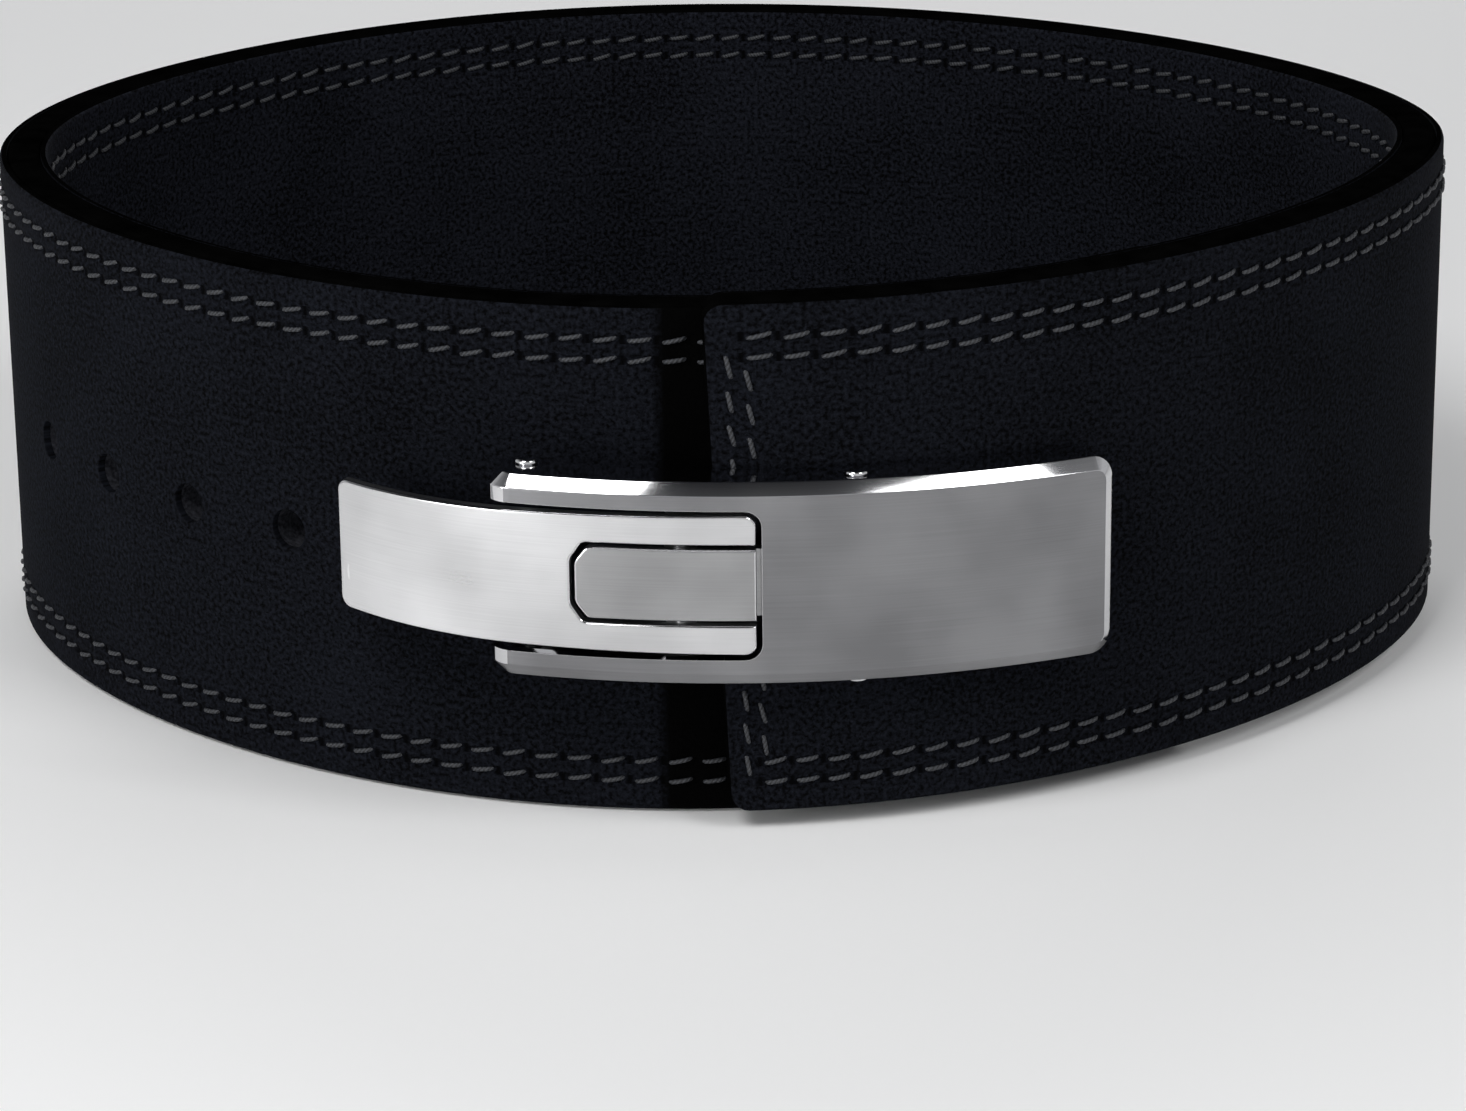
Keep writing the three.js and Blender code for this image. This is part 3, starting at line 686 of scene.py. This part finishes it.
def hook_arm():
    arm = slab("hook_arm_plate", (HOOK_LEFT, HOOK_RIGHT), middle(HOOK_HALF),
               (PLATE_TOP - HOOK_SHEET, PLATE_TOP))
    bevel_edges(arm, left_upright, HOOK_LEFT_CORNER, 6)
    bevel_edges(arm, right_upright, HOOK_RIGHT_CORNER, 5)
    slot = slab("slot", (FINGER_LEFT - HOOK_GAP, 20), middle(FINGER_HALF + HOOK_GAP), (0, 20))
    tapered_tip(slot, FINGER_LEFT - HOOK_GAP)
    cut_with(arm, [slot])
    bevel_edges(arm, top_rim, 0.6, 3)
    low_rim = lambda a, b, m, n: sharp(m, n) and max(a.z, b.z) < PLATE_TOP - HOOK_SHEET + 0.05
    bevel_edges(arm, low_rim, 0.35, 2)
    strips(arm, HOOK_LEFT, HOOK_RIGHT, 2.0)

    def shape(p):
        # the arm's outline narrows towards its end, which bends down to the strap
        narrow = 1 - (HOOK_RIGHT - p.x) / (HOOK_RIGHT - HOOK_LEFT) * (1 - HOOK_END_HALF / HOOK_HALF)
        drop = HOOK_BEND * max(0.0, (HOOK_BEND_FROM - p.x) / (HOOK_BEND_FROM - HOOK_LEFT)) ** 2
        outer_share = abs(p.y - LEVER_HEIGHT) / HOOK_HALF
        return (0, (p.y - LEVER_HEIGHT) * (narrow - 1) if outer_share > 0.7 else 0, -drop)

    move_points(arm, shape)
    knuckles = hinge_rods("knuckle", KNUCKLE_RADIUS, HOOK_HINGE, KNUCKLE_INNER, KNUCKLE_OUTER)
    peg_place = (PEG_ALONG, HOLE_HEIGHT + math.tan(LEVER_LEAN) * (PEG_ALONG - LEAN_PIVOT))
    shank = rod("shank", PEG_WIDE, peg_place, (PEG_STEP, 5.0), "z")
    peg = rod("peg", PEG_SLIM, peg_place, (PEG_END, PEG_STEP), "z")
    bevel_edges(peg, lambda a, b, m, n: max(a.z, b.z) < PEG_END + 0.1, 1.0, 3)
    arm = merge([arm, *knuckles, shank, peg])
    two_finishes(arm, bright_nickel, polished_nickel, sloping_above(2))
    return arm


def lever_finger():
    plate = slab("lever_finger_plate", (FINGER_LEFT, HOOK_RIGHT), middle(FINGER_HALF),
                 (PLATE_TOP - FINGER_SHEET, PLATE_TOP))
    tapered_tip(plate, FINGER_LEFT)
    bevel_edges(plate, top_rim, 0.4, 2)
    strips(plate, FINGER_LEFT, HOOK_RIGHT)
    # the tab by which the cover holds the finger
    tab = slab("tab", (TAB_LEFT, TAB_RIGHT), middle(TAB_HALF), (TAB_LOW, TAB_TOP))
    root = slab("tab_root", (TAB_LEFT, HOOK_RIGHT), middle(TAB_HALF), (TAB_LOW, TAB_ROOT_TOP))
    for part in (tab, root):
        bevel_edges(part, lambda a, b, m, n: sharp(m, n), 0.3, 2)
        strips(part, TAB_LEFT, TAB_RIGHT)
    knuckle = rod("knuckle", KNUCKLE_RADIUS, HOOK_HINGE, middle(TAB_HALF), "y")
    finger = merge([plate, tab, root, knuckle])
    two_finishes(finger, finger_nickel_painted_tone, polished_nickel, sloping_above(9))
    return finger


def base_plate():
    """A floor under the lever and an upright ear along each side, lower beyond the lapped end."""
    parts = []
    for side in (-1, 1):
        span = sorted((LEVER_HEIGHT + side * EAR_INNER, LEVER_HEIGHT + side * EAR_OUTER))
        ear = slab("ear", (BASE_LEFT, BASE_RIGHT), span, (EAR_LOW, EAR_TOP))
        slice_across(ear, EAR_STEP)
        move_points(ear, lambda p: (0, 0, EAR_RISE if p.x > EAR_STEP[1] - 1 and p.z < 0 else 0))
        corner = lambda a, b, m, n: abs(a.y - b.y) > 1 and (a.x < BASE_LEFT + 1
                                                            or (a.x > BASE_RIGHT - 1 and a.z > 5))
        bevel_edges(ear, corner, EAR_CORNER, 6)
        bevel_edges(ear, lambda a, b, m, n: sharp(m, n) and max(a.z, b.z) > 0.5, 0.25, 2)
        strips(ear, BASE_LEFT, BASE_RIGHT)
        parts.append(ear)
    floor = slab("floor", (FLOOR_LEFT, BASE_RIGHT), middle(FLOOR_HALF), (FLOOR_LOW, FLOOR_TOP))
    strips(floor, FLOOR_LEFT, BASE_RIGHT)
    return merge([*parts, floor])


def base_screw(name, place):
    """A dome-headed screw with a cross recess, and its flat nut on the strap's other side."""
    head = rod("head", SCREW_HEAD, place, (SCREW_HEAD_LOW, SCREW_HEAD_TOP), "z")
    bevel_edges(head, lambda a, b, m, n: min(a.z, b.z) > SCREW_HEAD_TOP - 0.1, 1.0, 4)
    for wide, tall in ((RECESS_LENGTH, RECESS_WIDTH), (RECESS_WIDTH, RECESS_LENGTH)):
        recess = slab("recess", (place[0] - wide / 2, place[0] + wide / 2),
                      (place[1] - tall / 2, place[1] + tall / 2), (RECESS_FLOOR, SCREW_HEAD_TOP + 1.3))
        cut_with(head, [recess])
    shank = rod("shank", SCREW_SHANK, place, (NUT_TOP - 0.05, SCREW_HEAD_LOW + 0.1), "z")
    nut = rod("nut", SCREW_NUT, place, (NUT_LOW, NUT_TOP), "z")
    screw = merge([head, shank, nut])
    screw.name = screw.data.name = name
    return screw


def headed_rivet(name, hinge, side, start, end, heads):
    """A rivet's shank with its domed heads, each given by its base, its sense and its height."""
    at = lambda up: LEVER_HEIGHT + side * up
    parts = [rod(name, RIVET_RADIUS, hinge, sorted((at(start), at(end))), "y", 24)]
    for base, sense, height in heads:
        top = base + sense * height
        head = rod("head", RIVET_HEAD, hinge, sorted((at(base), at(top))), "y", 24)
        bevel_edges(head, lambda a, b, m, n: abs(a.y - at(top)) < 0.01 and abs(b.y - at(top)) < 0.01,
                    height * 0.85, 4)
        parts.append(head)
    return merge(parts)


finish_piece(lever_cover(), False, "lever", ["lever_cover"], BUCKLE_SMOOTH)
finish_piece(hook_arm(), False, "hook", ["hook_arm"], BUCKLE_SMOOTH)
finish_piece(lever_finger(), False, "lever", ["lever_finger"], BUCKLE_SMOOTH)
# the base plate's near-black colour is painted shade
finish_piece(base_plate(), False, "root", ["base_plate"], BUCKLE_SMOOTH, steel_painted_shade)
pin = rod("hook_hinge_pin", PIN_RADIUS, HOOK_HINGE, middle(PIN_HALF), "y", 24)
finish_piece(pin, False, "lever", ["hook_pin"], SMALL_SMOOTH, bright_nickel)
for side, end in ((1, "upper"), (-1, "lower")):
    rivet = headed_rivet(f"hinge_rivet_{end}_turned", LEVER_HINGE, side, RIVET_START, RIVET_END,
                         [(RIVET_END, 1, 0.7), (RIVET_START, -1, 0.9)])
    finish_piece(rivet, False, "root", [f"hinge_rivet_{end}"], SMALL_SMOOTH,
                 polished_nickel)
    stud = headed_rivet(f"side_stud_{end}_turned", STUD, side, STUD_START, RIVET_END,
                        [(RIVET_END, 1, 0.6)])
    finish_piece(stud, False, "lever", [f"side_stud_{end}"], SMALL_SMOOTH,
                 polished_nickel)
for i, place in enumerate(SCREWS):
    finish_piece(base_screw(f"cross_head_screw_{i + 1}", place), False, "root", [f"base_screw_{i + 1}"],
                 SMALL_SMOOTH, bright_nickel)

# Studio: pale floor, soft light and the camera at the photo's angle
clear()
bpy.ops.mesh.primitive_plane_add(size=12, location=(0, 0, -0.0002))
floor = bpy.context.object
floor.name = "studio_floor"
# Matt background paper, unprinted: nearly white, so that the black belt stands clear of it
paper, _, shader = new_finish("matt_paper", "#fcfcfc")
shader.inputs["Base Color"].default_value = paper.diffuse_color
shader.inputs["Roughness"].default_value = 0.9
shader.inputs["Specular IOR Level"].default_value = 0.1
floor.data.materials.append(paper)


def soft_box(name, place, size, watts):
    """A rectangular lamp that faces the belt's middle; places and sizes in metres."""
    lamp = bpy.data.lights.new(name, "AREA")
    lamp.shape = "RECTANGLE"
    lamp.size, lamp.size_y = size
    lamp.energy = watts
    holder = bpy.data.objects.new(name, lamp)
    bpy.context.scene.collection.objects.link(holder)
    holder.location = place
    holder.rotation_euler = (Vector((0, 0, 0.05)) - Vector(place)).to_track_quat("-Z", "Y").to_euler()


soft_box("key_right", (1.12, -1.05, 1.35), (0.75, 0.65), 10)
soft_box("front_left", (-0.6, -1.0, 1.4), (0.75, 0.7), 13)
soft_box("left_wall", (-0.85, -0.90, 0.24), (0.5, 0.42), 4.6)
soft_box("back_panel", (0.0, 1.9, 1.3), (1.8, 0.6), 10)

world = bpy.data.worlds.new("studio")
world.use_nodes = True
bpy.context.scene.world = world
tree = world.node_tree
sky = tree.nodes["Background"]
# the walls of the studio are pale and its ceiling is dark between the lamps
heading = add(tree, "ShaderNodeTexCoord").outputs["Generated"]
rise = add(tree, "ShaderNodeSeparateXYZ", links={0: heading})
shade = ramp(tree, rise.outputs["Z"], ((0.35, "#e9eaec"), (0.85, "#2c2d30")))
tree.links.new(shade, sky.inputs["Color"])
sky.inputs["Strength"].default_value = 0.66
bpy.context.scene.view_settings.view_transform = "Standard"

camera = bpy.data.objects.new("camera", bpy.data.cameras.new("camera"))
bpy.context.scene.collection.objects.link(camera)
bpy.context.scene.camera = camera
camera.data.lens = 121.1
camera.data.sensor_width = 36.0
camera.data.sensor_fit = "HORIZONTAL"
aim = Vector((-0.0004, 0.0082, 0.050))
elevation, azimuth, distance = math.radians(16.44), math.radians(1.0), 1.049
sight = Vector((math.sin(azimuth) * math.cos(elevation), math.cos(azimuth) * math.cos(elevation),
                -math.sin(elevation)))
camera.location = aim - sight * distance
level = sight.to_track_quat("-Z", "Y").to_matrix().to_4x4()
tilt = (Matrix.Rotation(math.radians(-0.69), 4, "Z") @ Matrix.Rotation(math.radians(-2.18), 4, "X")
        @ Matrix.Rotation(math.radians(-0.17), 4, "Y"))
camera.rotation_euler = (level @ tilt).to_euler()
